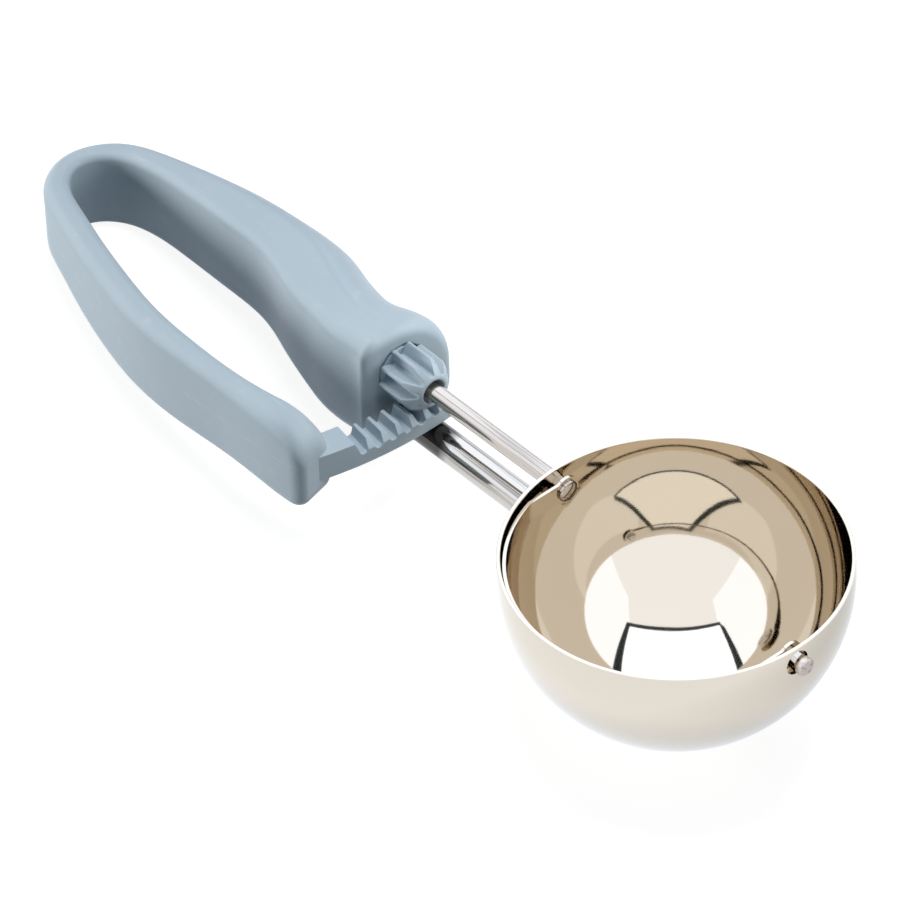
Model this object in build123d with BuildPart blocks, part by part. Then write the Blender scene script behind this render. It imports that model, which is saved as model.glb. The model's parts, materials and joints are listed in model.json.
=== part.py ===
from build123d import *
from math import asin, atan2, cos, degrees, hypot, pi, radians, sin, sqrt, tan
import os

os.makedirs("parts", exist_ok=True)

# A lever ice cream scoop: a thin steel bowl on a steel shank tube, and a plastic loop handle.
# Squeezing the handle's lever arm drives a curved rack under a pinion, and the pinion's
# spindle sweeps a wiper blade round the inside of the bowl.
# The pieces are drawn about the centre of the bowl's sphere: X runs along the spindle, from
# the handle out through the bowl, Y towards the fixed grip's side, Z out of the bowl's mouth.
# At the end every piece is laid down as the scoop lies on a table.

# Driving dimensions, in mm.
bowl_radius = 35.7
bowl_wall = 0.85
rim_height = 4.4
rim_rounding = 0.2
shank_length = 48.65
spindle_diameter = 4.0
tube_diameter = 7.0
tube_wall = 0.8
tube_offset = 0.8
handle_length = 97.3
arm_height = 22.0
head_width = 25.4
head_wall = 2.25
head_rounding = 2.4
band_thickness = 5.5
paddle_thickness = 11.0
paddle_rounding = 2.6
mesh_depth = 2.5
blade_width = 4.8
blade_thickness = 0.7
blade_gap = 0.6
tab_diameter = 6.4
rivet_diameter = 4.9
rivet_height = 1.0
pin_projection = 1.85

# The drive: a nine-tooth pinion over a rack that swings about the handle's bow.
pinion_teeth = 9
tooth_pitch = 3.6
pinion_addendum = 1.24
pinion_dedendum = 1.3
tooth_root_width = 1.8
tooth_pitch_width = 1.5
tooth_tip_width = 0.75
rack_gap_width = 2.3
rack_flank_angle = 18.0
rack_addendum = 1.0
rack_dedendum = 1.55
rack_floor = 2.85
rack_depth = 6.9
pinion_face = 6.9
pinion_dome = 3.6
pinion_nose_radius = 3.45
pinion_mouth_radius = 2.85
pinion_mouth_depth = 3.0
hub_radius = 5.4
hub_thickness = 1.6
travel_pitches = 4
rack_gaps = travel_pitches + 3

# Clearances.
running_clearance = 0.05
fit_clearance = 0.02
part_gap = 0.3
cut_margin = 1.0

# Places along the spindle that follow from them.
bowl_outer = bowl_radius + bowl_wall
spindle_radius = spindle_diameter / 2
tube_radius = tube_diameter / 2
pitch_radius = pinion_teeth * tooth_pitch / (2 * pi)
tube_drop = pitch_radius + rack_dedendum + rack_floor + part_gap + tube_radius
head_face = -(bowl_outer + shank_length)
teeth_back = head_face + part_gap
teeth_front = teeth_back + pinion_face
nose_x = teeth_front + pinion_dome
hub_back = teeth_back - hub_thickness
recess_depth = hub_thickness
journal_length = 0.14 * handle_length
spindle_end = hub_back - journal_length
socket_depth = 0.13 * handle_length

# The handle's band, from the head round the bow to the paddle. Each station gives its
# distance behind the head's face as a share of the handle's length, its place across in mm,
# its width across the band, its top and bottom as shares of the arm's height, and the radii
# of its inner top, outer top and lower corners as shares of its width.
head_low = -(tube_drop + tube_radius + head_wall) / arm_height
grip_stations = [
    (0.000, 2.80, head_width, 0.464, head_low, 0.20, 0.62, 0.34),
    (0.025, 2.78, 0.997 * head_width, 0.463, head_low, 0.20, 0.615, 0.34),
    (0.050, 2.40, 0.965 * head_width, 0.450, head_low, 0.20, 0.57, 0.34),
    (0.100, 0.90, 0.885 * head_width, 0.424, head_low, 0.19, 0.50, 0.32),
    (0.150, 0.00, 0.815 * head_width, 0.400, 0.96 * head_low, 0.18, 0.44, 0.29),
    (0.200, 0.35, 0.785 * head_width, 0.386, 0.91 * head_low, 0.17, 0.40, 0.26),
    (0.255, 1.70, 0.756 * head_width, 0.377, 0.82 * head_low, 0.16, 0.38, 0.22),
    (0.317, 3.60, 18.4, 0.373, -0.655, 0.15, 0.37, 0.19),
    (0.440, 5.00, 15.2, 0.364, -0.622, 0.16, 0.37, 0.18),
    (0.584, 4.50, 13.0, 0.355, -0.605, 0.19, 0.37, 0.20),
    (0.728, 2.85, 9.5, 0.341, -0.591, 0.25, 0.37, 0.25),
    (0.841, 0.85, 6.7, 0.327, -0.582, 0.32, 0.37, 0.32),
    (0.930, -3.00, band_thickness, 0.318, -0.577, 0.36, 0.36, 0.36),
]
lever_stations = [
    (0.930, -3.00, band_thickness, 0.318, -0.577, 0.36, 0.36, 0.36),
    (0.974, -12.60, 5.0, 0.314, -0.550, 0.36, 0.38, 0.38),
    (0.936, -19.50, 5.8, 0.318, -0.562, 0.36, 0.39, 0.38),
    (0.840, -24.00, 6.6, 0.327, -0.577, 0.36, 0.40, 0.38),
    (0.720, -27.60, 6.7, 0.336, -0.593, 0.36, 0.40, 0.38),
    (0.584, -31.00, 6.8, 0.345, -0.600, 0.36, 0.40, 0.38),
    (0.440, -33.60, 6.6, 0.352, -0.607, 0.36, 0.40, 0.38),
    (0.300, -34.00, 6.3, 0.359, -0.611, 0.36, 0.40, 0.38),
    (0.160, -33.30, 0.56 * paddle_thickness, 0.366, -0.618, 0.36, 0.40, 0.38),
    (0.050, -32.30, 0.76 * paddle_thickness, 0.362, -0.622, 0.36, 0.40, 0.38),
    (-0.081, -29.90, paddle_thickness, 0.250, -0.590, 0.36, 0.40, 0.38),
]


def station_point(station):
    """Where a station of the band stands, on the level of the spindle."""
    return Vector(head_face - station[0] * handle_length, station[1], 0)


paddle_heading = 14.0
paddle_tangent = (cos(radians(paddle_heading)), sin(radians(paddle_heading)), 0)
with BuildLine() as band_line:
    Spline(
        *[station_point(station) for station in grip_stations + lever_stations[1:]],
        tangents=[(-1, 0, 0), paddle_tangent],
    )


def station_plane(station):
    """The plane square to the band at a station, its X across the band and its Y upwards."""
    point = station_point(station)
    tangent = band_line.edge().tangent_at(point)
    return Plane(origin=point, x_dir=(-tangent.Y, tangent.X, 0), z_dir=tangent)


def station_middle(station):
    """The middle of a station's section, above the level of the spindle."""
    return arm_height * (station[3] + station[4]) / 2


def station_height(station):
    """The height of a station's section."""
    return arm_height * (station[3] - station[4])


def station_section(station):
    """A station's section: a rectangle square to the band with rounded corners."""
    middle, width, height = station_middle(station), station[2], station_height(station)
    with BuildSketch(station_plane(station)) as section:
        with Locations((0, middle)):
            Rectangle(width, height)
        for side, level, share in ((0.5, 0.5, 5), (-0.5, 0.5, 6), (-0.5, -0.5, 7), (0.5, -0.5, 7)):
            corner = section.vertices().sort_by_distance((side * width, middle + level * height, 0))[0]
            fillet(corner, radius=station[share] * width)
    return section.sketch.face()


# The hinge is the thin end of the band, where the bow flexes.
hinge_x = station_point(lever_stations[0]).X
hinge_y = station_point(lever_stations[0]).Y
barrel_radius = band_thickness / 2 + 0.1
hinge_axis = Axis((hinge_x, hinge_y, 0), (0, 0, 1))
arm_span = 2 * arm_height

# The rack's section, as radii about the hinge and heights about the spindle.
rack_front = teeth_front + pinion_dome + part_gap - hinge_x
rack_back = rack_front - rack_depth
ridge_front = rack_front - 1.7
mesh_radius = rack_back + mesh_depth
rack_tips = -(pitch_radius - rack_addendum)
rack_roots = -(pitch_radius + rack_dedendum)
rack_bottom = rack_roots - rack_floor
bevel_bottom = rack_tips - 1.85
pitch_angle = degrees(tooth_pitch / mesh_radius)
middle_angle = degrees(asin(-hinge_y / mesh_radius))
end_angle = middle_angle + 1.2 * pitch_angle
paddle_inside = -27.0
tenon_length = 2.5
pocket_fit = 0.15
root_angle = degrees(asin((paddle_inside - tenon_length - hinge_y) / mesh_radius))
spindle_ratio = 360 / pinion_teeth / pitch_angle
lever_travel = travel_pitches * pitch_angle

# Bowl: a thin spherical cup with a rounded rim, a bearing hole for the spindle behind
# and a looser, lopsided hole for the pivot pin in front.
front_relief_radius = 2.8
front_relief_y = -0.9
front_relief_z = 0.8
with BuildPart() as bowl:
    with BuildSketch(Plane.XZ):
        with BuildLine():
            outer_arc = CenterArc((0, 0), bowl_outer, -90, 90 + degrees(asin(rim_height / bowl_outer)))
            inner_arc = CenterArc((0, 0), bowl_radius, -90, 90 + degrees(asin(rim_height / bowl_radius)))
            Line(outer_arc @ 0, inner_arc @ 0)
            Line(outer_arc @ 1, inner_arc @ 1)
        make_face()
    revolve(axis=Axis.Z)
    fillet(bowl.edges().filter_by(GeomType.CIRCLE).group_by(Axis.Z)[-1], radius=rim_rounding)
    with BuildSketch(Plane.YZ.offset(-bowl_outer - cut_margin)):
        Circle(spindle_radius + running_clearance)
    extrude(amount=bowl_outer, mode=Mode.SUBTRACT)
    with BuildSketch(Plane.YZ.offset(bowl_outer + cut_margin)):
        Circle(spindle_radius + running_clearance)
        with Locations((front_relief_y, front_relief_z)):
            Circle(front_relief_radius)
    extrude(amount=-bowl_outer, mode=Mode.SUBTRACT)

# Shank tube: from its socket in the handle's head to the bowl, its end coped to the bowl.
tube_plane = Plane(origin=(head_face, tube_offset, -tube_drop), x_dir=(0, 1, 0), z_dir=(1, 0, 0))
with BuildPart() as shank_tube:
    with BuildSketch(tube_plane.offset(-socket_depth)):
        Circle(tube_radius)
        Circle(tube_radius - tube_wall, mode=Mode.SUBTRACT)
    extrude(amount=socket_depth + shank_length + bowl_outer / 2)
    Sphere(bowl_outer, mode=Mode.SUBTRACT)

# Braze: the collar of metal round the tube where it meets the bowl.
braze_radius = 5.0
braze_length = 2.5
bowl_wall_x = -sqrt(bowl_outer**2 - tube_drop**2)
braze_start = bowl_wall_x - head_face - braze_length
with BuildPart() as tube_braze:
    with BuildSketch(tube_plane.offset(braze_start)):
        Circle(tube_radius + fit_clearance * 5)
    with BuildSketch(tube_plane.offset(braze_start + braze_length)):
        Circle(braze_radius)
    loft()
    with BuildSketch(tube_plane.offset(braze_start - cut_margin)):
        Circle(tube_radius)
    extrude(amount=bowl_outer / 2, mode=Mode.SUBTRACT)
    Sphere(bowl_outer, mode=Mode.SUBTRACT)

# Grip: the rounded head with its recess, spindle bore and tube socket, and the fixed arm
# of the band back to the hinge.
with BuildPart() as grip:
    loft([station_section(station) for station in grip_stations])
    fillet(grip.faces().sort_by(Axis.X)[-1].edges(), radius=head_rounding)
    with BuildSketch(Plane.YZ.offset(head_face + cut_margin)):
        Circle(hub_radius + part_gap)
    extrude(amount=-cut_margin - recess_depth, mode=Mode.SUBTRACT)
    with BuildSketch(Plane.YZ.offset(head_face + cut_margin)):
        Circle(spindle_radius + running_clearance)
    extrude(amount=spindle_end - part_gap - head_face - cut_margin, mode=Mode.SUBTRACT)
    with BuildSketch(tube_plane.offset(cut_margin)):
        Circle(tube_radius + fit_clearance)
    extrude(amount=-cut_margin - socket_depth, mode=Mode.SUBTRACT)
    with BuildSketch(Plane.XY.offset(-arm_height)):
        with Locations((hinge_x, hinge_y)):
            Circle(barrel_radius + part_gap)
    extrude(amount=arm_span, mode=Mode.SUBTRACT)

# Rack: a curved bar about the hinge, its teeth cut by straight gaps that point at the hinge.
gap_angles = [middle_angle + (step + 2 - rack_gaps) * pitch_angle for step in range(rack_gaps)]
gap_flank = tan(radians(rack_flank_angle))
root_half = rack_gap_width / 2 - rack_dedendum * gap_flank
mouth_rise = rack_addendum + cut_margin
mouth_half = rack_gap_width / 2 + mouth_rise * gap_flank


def radial_plane(angle, radius):
    """A plane square to a radius of the hinge: X along the swing, Y upwards."""
    along = (cos(radians(angle)), sin(radians(angle)), 0)
    across = (-along[1], along[0], 0)
    origin = (hinge_x + radius * along[0], hinge_y + radius * along[1], 0)
    return Plane(origin=origin, x_dir=across, z_dir=along)


root_plane = Plane(
    origin=(hinge_x, hinge_y, 0),
    x_dir=(cos(radians(root_angle)), sin(radians(root_angle)), 0),
    z_dir=(sin(radians(root_angle)), -cos(radians(root_angle)), 0),
)
with BuildPart() as rack:
    with BuildSketch(root_plane):
        Polygon(
            (rack_back, rack_bottom),
            (rack_front, rack_bottom),
            (rack_front, bevel_bottom),
            (ridge_front, rack_tips),
            (rack_back, rack_tips),
            align=None,
        )
    revolve(axis=hinge_axis, revolution_arc=end_angle - root_angle)
    with BuildSketch(root_plane):
        Polygon(
            (rack_back, rack_bottom),
            (rack_front, rack_bottom),
            (rack_front, rack_tips),
            (rack_back, rack_tips),
            align=None,
        )
    revolve(axis=hinge_axis, revolution_arc=gap_angles[0] - root_angle)
    with BuildSketch(*[radial_plane(angle, rack_back - cut_margin) for angle in gap_angles]):
        Polygon(
            (-root_half, rack_roots),
            (root_half, rack_roots),
            (mouth_half, mouth_rise - pitch_radius),
            (-mouth_half, mouth_rise - pitch_radius),
            align=None,
        )
    extrude(amount=rack_depth + 2 * cut_margin, mode=Mode.SUBTRACT)

# Lever arm: the bow from the hinge round to the moving arm and its flared paddle, with a
# pocket for the root of the rack.
pocket_plane = radial_plane(root_angle, rack_back - pocket_fit)
with BuildPart() as lever_arm:
    loft([station_section(station) for station in lever_stations])
    fillet(lever_arm.faces().sort_by(Axis.X)[-1].edges(), radius=paddle_rounding)
    with BuildSketch(Plane.XY.offset(arm_height * lever_stations[0][4])):
        with Locations((hinge_x, hinge_y)):
            Circle(barrel_radius)
    extrude(amount=station_height(lever_stations[0]))
    with BuildSketch(pocket_plane):
        Polygon(
            (0, rack_bottom - pocket_fit),
            (4 * tenon_length, rack_bottom - pocket_fit),
            (4 * tenon_length, rack_tips + pocket_fit),
            (0, rack_tips + pocket_fit),
            align=None,
        )
    extrude(amount=rack_depth + 2 * pocket_fit, mode=Mode.SUBTRACT)

# Pinion: nine long teeth running out on a domed nose, a hub behind that turns in the head's
# recess, and a wide mouth round the spindle.
tip_radius = pitch_radius + pinion_addendum
root_radius = pitch_radius - pinion_dedendum
tooth_foot = root_radius - tooth_root_width / 2
with BuildSketch() as pinion_tooth:
    with BuildLine():
        Line((tooth_foot, tooth_root_width / 2), (root_radius, tooth_root_width / 2))
        ThreePointArc(
            (root_radius, tooth_root_width / 2),
            (pitch_radius, tooth_pitch_width / 2),
            (tip_radius, tooth_tip_width / 2),
        )
        Line((tip_radius, tooth_tip_width / 2), (tip_radius, -tooth_tip_width / 2))
        ThreePointArc(
            (tip_radius, -tooth_tip_width / 2),
            (pitch_radius, -tooth_pitch_width / 2),
            (root_radius, -tooth_root_width / 2),
        )
        Line((root_radius, -tooth_root_width / 2), (tooth_foot, -tooth_root_width / 2))
        Line((tooth_foot, -tooth_root_width / 2), (tooth_foot, tooth_root_width / 2))
    make_face()

dome_radius = tip_radius + fit_clearance
with BuildPart() as pinion:
    with BuildSketch(Plane.YZ.offset(teeth_back)):
        Circle(root_radius)
        with PolarLocations(0, pinion_teeth, start_angle=-90):
            add(pinion_tooth.sketch)
    extrude(amount=pinion_face + pinion_dome)
    with BuildSketch(Plane.XY):
        with BuildLine():
            Polyline(
                (nose_x, pinion_nose_radius),
                (nose_x, 0),
                (teeth_back - cut_margin, 0),
                (teeth_back - cut_margin, dome_radius),
                (teeth_front, dome_radius),
            )
            ThreePointArc(
                (teeth_front, dome_radius),
                (teeth_front + pinion_dome * 0.58, pinion_nose_radius + (dome_radius - pinion_nose_radius) * 0.6),
                (nose_x, pinion_nose_radius),
            )
        make_face()
    revolve(axis=Axis.X, mode=Mode.INTERSECT)
    with BuildSketch(Plane.YZ.offset(hub_back + part_gap)):
        Circle(hub_radius)
    extrude(amount=hub_thickness - part_gap)
    with BuildSketch(Plane.YZ.offset(hub_back)):
        Circle(spindle_radius + fit_clearance)
    extrude(amount=nose_x + cut_margin - hub_back, mode=Mode.SUBTRACT)
    with BuildSketch(Plane.YZ.offset(nose_x - pinion_mouth_depth)):
        Circle(pinion_mouth_radius)
    extrude(amount=pinion_mouth_depth + cut_margin, mode=Mode.SUBTRACT)

# Wiper blade: a thin strip bent just inside the bowl, with a flat round tab at each end.
blade_outer = bowl_radius - blade_gap
blade_inner = blade_outer - blade_thickness
blade_end = bowl_radius - 2.1
tab_radius = tab_diameter / 2
tab_inside = blade_end - blade_thickness
with BuildPart() as wiper_blade:
    with BuildSketch(Plane.XY):
        with BuildLine():
            Polyline(
                (-blade_end, -sqrt(blade_outer**2 - blade_end**2)),
                (-blade_end, 0),
                (-tab_inside, 0),
                (-tab_inside, -sqrt(blade_inner**2 - tab_inside**2)),
            )
            ThreePointArc(
                (-tab_inside, -sqrt(blade_inner**2 - tab_inside**2)),
                (0, -blade_inner),
                (tab_inside, -sqrt(blade_inner**2 - tab_inside**2)),
            )
            Polyline(
                (tab_inside, -sqrt(blade_inner**2 - tab_inside**2)),
                (tab_inside, 0),
                (blade_end, 0),
                (blade_end, -sqrt(blade_outer**2 - blade_end**2)),
            )
            ThreePointArc(
                (blade_end, -sqrt(blade_outer**2 - blade_end**2)),
                (0, -blade_outer),
                (-blade_end, -sqrt(blade_outer**2 - blade_end**2)),
            )
        make_face()
    revolve(axis=Axis.X)
    with BuildSketch(Plane.YZ.offset(-bowl_radius)):
        Circle(tab_radius)
        with Locations((-bowl_radius / 2, 0)):
            Rectangle(bowl_radius, blade_width)
    extrude(amount=2 * bowl_radius, mode=Mode.INTERSECT)
    with BuildSketch(Plane.YZ.offset(-bowl_radius)):
        Circle(spindle_radius + fit_clearance)
    extrude(amount=2 * bowl_radius, mode=Mode.SUBTRACT)

# Spindle: the rod from its journal in the head, through the pinion and the bowl's wall,
# to the rivet head that holds the blade's rear tab.
rivet_radius = rivet_diameter / 2
with BuildPart() as spindle:
    with BuildSketch(Plane.XY):
        with BuildLine():
            Polyline(
                (-tab_inside + rivet_height, 0),
                (spindle_end, 0),
                (spindle_end, spindle_radius),
                (-tab_inside, spindle_radius),
                (-tab_inside, rivet_radius),
            )
            RadiusArc(
                (-tab_inside, rivet_radius),
                (-tab_inside + rivet_height, 0),
                (rivet_radius**2 + rivet_height**2) / (2 * rivet_height),
            )
        make_face()
    revolve(axis=Axis.X)

# Pivot pin: the stub that carries the blade's front tab in the bowl's front hole.
pin_end = bowl_outer + pin_projection
pin_chamfer = 0.3
with BuildPart() as pivot_pin:
    with BuildSketch(Plane.XY):
        with BuildLine():
            Polyline(
                (tab_inside - rivet_height, 0),
                (pin_end, 0),
                (pin_end, spindle_radius - pin_chamfer),
                (pin_end - pin_chamfer, spindle_radius),
                (tab_inside, spindle_radius),
                (tab_inside, rivet_radius),
            )
            RadiusArc(
                (tab_inside, rivet_radius),
                (tab_inside - rivet_height, 0),
                -(rivet_radius**2 + rivet_height**2) / (2 * rivet_height),
            )
        make_face()
    revolve(axis=Axis.X)

# The scoop lies with its bowl and the lower edge of its bow on the table: the tilt is that
# of the line that touches the bowl's circle and the rounded lower corner of the bow.
bow_station = lever_stations[1]
bow_corner = bow_station[7] * bow_station[2]
bow_x = -station_point(bow_station).X + bow_station[2] / 2 - bow_corner
bow_z = -arm_height * bow_station[4] - bow_corner
bow_reach = hypot(bow_x, bow_z)
tilt = degrees(asin((bowl_outer - bow_corner) / bow_reach) - atan2(bow_z, bow_x))
laid_down = Location((0, 0, 0), (0, -tilt, 0))
pieces = {
    "bowl": bowl,
    "shank_tube": shank_tube,
    "tube_braze": tube_braze,
    "grip": grip,
    "lever_arm": lever_arm,
    "rack": rack,
    "pinion": pinion,
    "spindle": spindle,
    "wiper_blade": wiper_blade,
    "pivot_pin": pivot_pin,
}
boxes = [piece.part.moved(laid_down).bounding_box() for piece in pieces.values()]
middle_x = (min(box.min.X for box in boxes) + max(box.max.X for box in boxes)) / 2
middle_y = (min(box.min.Y for box in boxes) + max(box.max.Y for box in boxes)) / 2
bottom_z = min(box.min.Z for box in boxes)
rest = Location((-middle_x, -middle_y, -bottom_z)) * laid_down

for name, piece in pieces.items():
    piece.part.locate(rest)
    piece.part.label = name
    export_step(piece.part, f"parts/{name}.step")
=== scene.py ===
"""Lever ice cream scoop: the skins, finishes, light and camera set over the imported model."""

import json
import math

import bmesh
import bpy
import numpy as np
from mathutils import Matrix, Vector


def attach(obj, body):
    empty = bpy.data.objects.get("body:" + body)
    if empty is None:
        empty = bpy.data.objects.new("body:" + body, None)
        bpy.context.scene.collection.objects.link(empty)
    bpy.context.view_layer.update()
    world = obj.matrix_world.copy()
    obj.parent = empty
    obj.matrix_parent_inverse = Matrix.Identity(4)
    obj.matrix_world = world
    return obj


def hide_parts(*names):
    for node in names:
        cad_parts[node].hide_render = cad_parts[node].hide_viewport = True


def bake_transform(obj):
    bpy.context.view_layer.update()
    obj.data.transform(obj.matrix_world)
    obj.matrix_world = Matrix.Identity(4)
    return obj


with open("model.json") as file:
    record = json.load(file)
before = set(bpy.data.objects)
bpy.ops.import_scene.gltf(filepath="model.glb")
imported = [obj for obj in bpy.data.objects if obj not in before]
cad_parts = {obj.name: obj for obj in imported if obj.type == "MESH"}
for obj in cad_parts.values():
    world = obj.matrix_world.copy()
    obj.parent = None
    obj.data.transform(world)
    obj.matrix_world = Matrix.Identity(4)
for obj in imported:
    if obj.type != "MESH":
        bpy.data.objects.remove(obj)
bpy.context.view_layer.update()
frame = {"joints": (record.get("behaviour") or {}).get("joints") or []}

# The tool's own axes, read from its two joints: along the spindle towards the bowl, across
# towards the fixed grip, and out of the bowl's mouth. Sizes below are in mm on these axes.
joints = {joint["name"]: joint for joint in frame["joints"]}
ALONG = np.array(joints["spindle_turn"]["axis"], float)
OUT = np.array(joints["lever_squeeze"]["axis"], float)
ACROSS = np.cross(OUT, ALONG)
AXES = np.array([ALONG, ACROSS, OUT])
BOWL_CENTRE = np.array(joints["spindle_turn"]["pos_m"], float) * 1000

BOWL_INSIDE, BOWL_OUTSIDE = 35.7, 36.55
RIM, RIM_ROUND = 4.4, 0.2  # the rim's height over the sphere's centre, and its rounding
HEAD_FACE, REACH, ARM = -85.2, 97.3, 22.0  # the head's face, the band's length behind it, its height
HINGE = (-175.689, -3.0)  # along and across
ROD_R, TUBE_R, TUBE_BORE_R = 2.0, 3.5, 2.7
TUBE_ACROSS, TUBE_DROP = 0.8, 13.3566  # the tube's line, from the spindle's
HUB_FLOOR, HUB_RECESS_R = -86.8, 5.7  # the recess for the pinion's hub in the head's face
ROD_BORE_R, ROD_BORE_END = 2.05, -100.42
SOCKET_R, SOCKET_END = 3.52, -97.87
BLADE_HALF, TAB_R, RIVET_R = 2.4, 3.2, 2.45
TAU = 2 * math.pi
MERGE_STEPS = 2000  # to a mm: points on the same step become one


def laid(points):
    """Points in mm on the tool's axes, put where the scoop lies, in metres."""
    return (BOWL_CENTRE + np.asarray(points, float) @ AXES) * 0.001


# ---------------------------------------------------------------- meshes from grids


def sheet_quads(rows, columns, wrap_rows, wrap_columns, first):
    """Corners of the cells of a grid whose point (i, j) has index first + i * columns + j."""
    i = np.arange(rows if wrap_rows else rows - 1)[:, None]
    j = np.arange(columns if wrap_columns else columns - 1)[None, :]
    i2, j2 = (i + 1) % rows, (j + 1) % columns
    corners = (i * columns + j, i * columns + j2, i2 * columns + j2, i2 * columns + j)
    return first + np.stack([np.broadcast_to(c, (i.size, j.size)) for c in corners], -1).reshape(-1, 4)


def solid_piece(name, sheets, sharp, bevel=0.0):
    """A closed mesh from several grids of points in mm, given as (grid, wrap_rows,
    wrap_columns, kept cells or None). Points that coincide are merged, so that seams and
    poles close, and the faces are turned outwards."""
    points, quads, first = [], [], 0
    for grid, wrap_rows, wrap_columns, kept in sheets:
        rows, columns = grid.shape[:2]
        cells = sheet_quads(rows, columns, wrap_rows, wrap_columns, first)
        quads.append(cells if kept is None else cells[kept.ravel()])
        points.append(grid.reshape(-1, 3))
        first += rows * columns
    points, quads = np.concatenate(points), np.concatenate(quads)
    steps = np.round(points * MERGE_STEPS).astype(np.int64)
    _, kept_points, number = np.unique(steps, axis=0, return_index=True, return_inverse=True)
    quads = number.reshape(-1)[quads]
    points = points[kept_points]
    same = quads == np.roll(quads, -1, axis=1)
    whole = quads[same.sum(1) == 0]
    pinched = quads[same.sum(1) == 1]
    gone = np.argmax(pinched == np.roll(pinched, -1, axis=1), axis=1)
    threes = np.take_along_axis(pinched, (gone[:, None] + np.array([1, 2, 3])) % 4, 1)
    mesh = bpy.data.meshes.new(name)
    mesh.from_pydata(laid(points).tolist(), [], whole.tolist() + threes.tolist())
    mesh.validate()
    form = bmesh.new()
    form.from_mesh(mesh)
    bmesh.ops.recalc_face_normals(form, faces=form.faces)
    form.to_mesh(mesh)
    form.free()
    mesh.polygons.foreach_set("use_smooth", np.ones(len(mesh.polygons), bool))
    mesh.set_sharp_from_angle(angle=math.radians(sharp))
    mesh.update()
    piece = bpy.data.objects.new(name, mesh)
    bpy.context.scene.collection.objects.link(piece)
    if bevel:
        edge = piece.modifiers.new("edges", "BEVEL")
        edge.width, edge.segments, edge.limit_method = bevel * 0.001, 3, "ANGLE"
        edge.angle_limit = math.radians(35)
        edge.harden_normals = False
    return piece


def ring_between(outer, inner, steps):
    """Rows of points from one loop to another, straight lines between matching points."""
    t = np.linspace(0, 1, steps)[:, None, None]
    return outer[None] * (1 - t) + inner[None] * t


def turned_profile(profile, columns):
    """A profile of (x, radius) points turned about the spindle's line: the point at turn a is
    (x, r sin a, r cos a)."""
    a = np.linspace(0, TAU, columns, endpoint=False)
    x, r = np.asarray(profile, float).T
    across = np.broadcast_to(x[:, None], (x.size, columns))
    return np.stack([across, r[:, None] * np.sin(a), r[:, None] * np.cos(a)], -1)


# ---------------------------------------------------------------- loop handle

# Distance behind the head's face as a share of the reach, place across, width, top and
# bottom as shares of the arm's height, and the radii of the inner top, outer top, outer
# lower and inner lower corners as shares of the width.
HEAD_LOW = -(TUBE_DROP + TUBE_R + 2.25) / ARM
BAND = np.array([
    (0.000, 2.80, 25.4, 0.464, HEAD_LOW, 0.17, 0.66, 0.34, 0.30),
    (0.045, 2.45, 24.3, 0.450, HEAD_LOW, 0.17, 0.62, 0.34, 0.30),
    (0.095, 1.35, 21.6, 0.420, HEAD_LOW, 0.16, 0.58, 0.33, 0.27),
    (0.145, 0.65, 19.4, 0.398, 0.965 * HEAD_LOW, 0.15, 0.50, 0.30, 0.22),
    (0.200, 1.10, 18.3, 0.384, 0.90 * HEAD_LOW, 0.14, 0.42, 0.27, 0.17),
    (0.255, 2.00, 18.4, 0.377, 0.80 * HEAD_LOW, 0.13, 0.38, 0.22, 0.15),
    (0.317, 3.60, 18.4, 0.374, -0.650, 0.12, 0.37, 0.20, 0.14),
    (0.440, 5.00, 15.2, 0.366, -0.620, 0.13, 0.37, 0.20, 0.15),
    (0.584, 4.50, 13.0, 0.357, -0.605, 0.15, 0.37, 0.22, 0.16),
    (0.728, 2.85, 9.5, 0.343, -0.591, 0.22, 0.37, 0.30, 0.18),
    (0.841, 0.85, 6.7, 0.328, -0.582, 0.30, 0.37, 0.36, 0.22),
    (0.930, -3.00, 5.5, 0.318, -0.577, 0.34, 0.36, 0.42, 0.26),
    (0.974, -12.60, 5.0, 0.314, -0.530, 0.34, 0.38, 0.70, 0.24),
    (0.936, -19.50, 5.8, 0.318, -0.532, 0.34, 0.39, 0.72, 0.24),
    (0.840, -24.00, 6.5, 0.327, -0.545, 0.34, 0.40, 0.70, 0.24),
    (0.720, -27.60, 6.7, 0.336, -0.578, 0.34, 0.40, 0.56, 0.26),
    (0.584, -31.00, 6.8, 0.345, -0.600, 0.36, 0.40, 0.42, 0.34),
    (0.440, -33.60, 6.6, 0.352, -0.607, 0.36, 0.40, 0.38, 0.36),
    (0.300, -34.20, 6.2, 0.347, -0.602, 0.36, 0.40, 0.38, 0.36),
    (0.160, -33.75, 6.16, 0.330, -0.578, 0.36, 0.40, 0.36, 0.38),
    (0.050, -32.70, 8.2, 0.328, -0.592, 0.44, 0.40, 0.32, 0.38),
    (-0.081, -30.05, 10.7, 0.330, -0.648, 0.50, 0.36, 0.26, 0.18),
])
# The soft ridge on the top of the grip: distances along the band from the head's face and
# places across it, with its strength there.
RIDGE = np.array([
    (0.0, 1.40, 0.00), (3.0, 1.80, 0.00), (6.0, 2.20, 0.50), (8.4, 2.30, 0.90), (12.0, 1.50, 1.00),
    (16.3, 0.50, 1.00), (20.6, -0.15, 1.00), (26.0, -0.95, 1.00), (30.8, -1.30, 1.00),
    (35.1, -1.96, 1.00), (40.0, -2.70, 0.80), (45.0, -2.80, 0.35), (52.0, -2.40, 0.00),
    (400.0, 0.00, 0.00),
])
# How far the band turns in: the head's face all round over one distance, by depths at its
# outer, inner, top and lower sides, and the paddle's end by a (distance, depth) for each side.
HEAD_ROUND = 3.2
HEAD_DEPTHS = (3.2, 3.6, 2.8, 1.4)
PADDLE_END = ((3.2, 2.6), (1.8, 1.3), (12.0, 9.4), (3.6, 3.0))
PADDLE_HEADING = math.radians(14)
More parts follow.
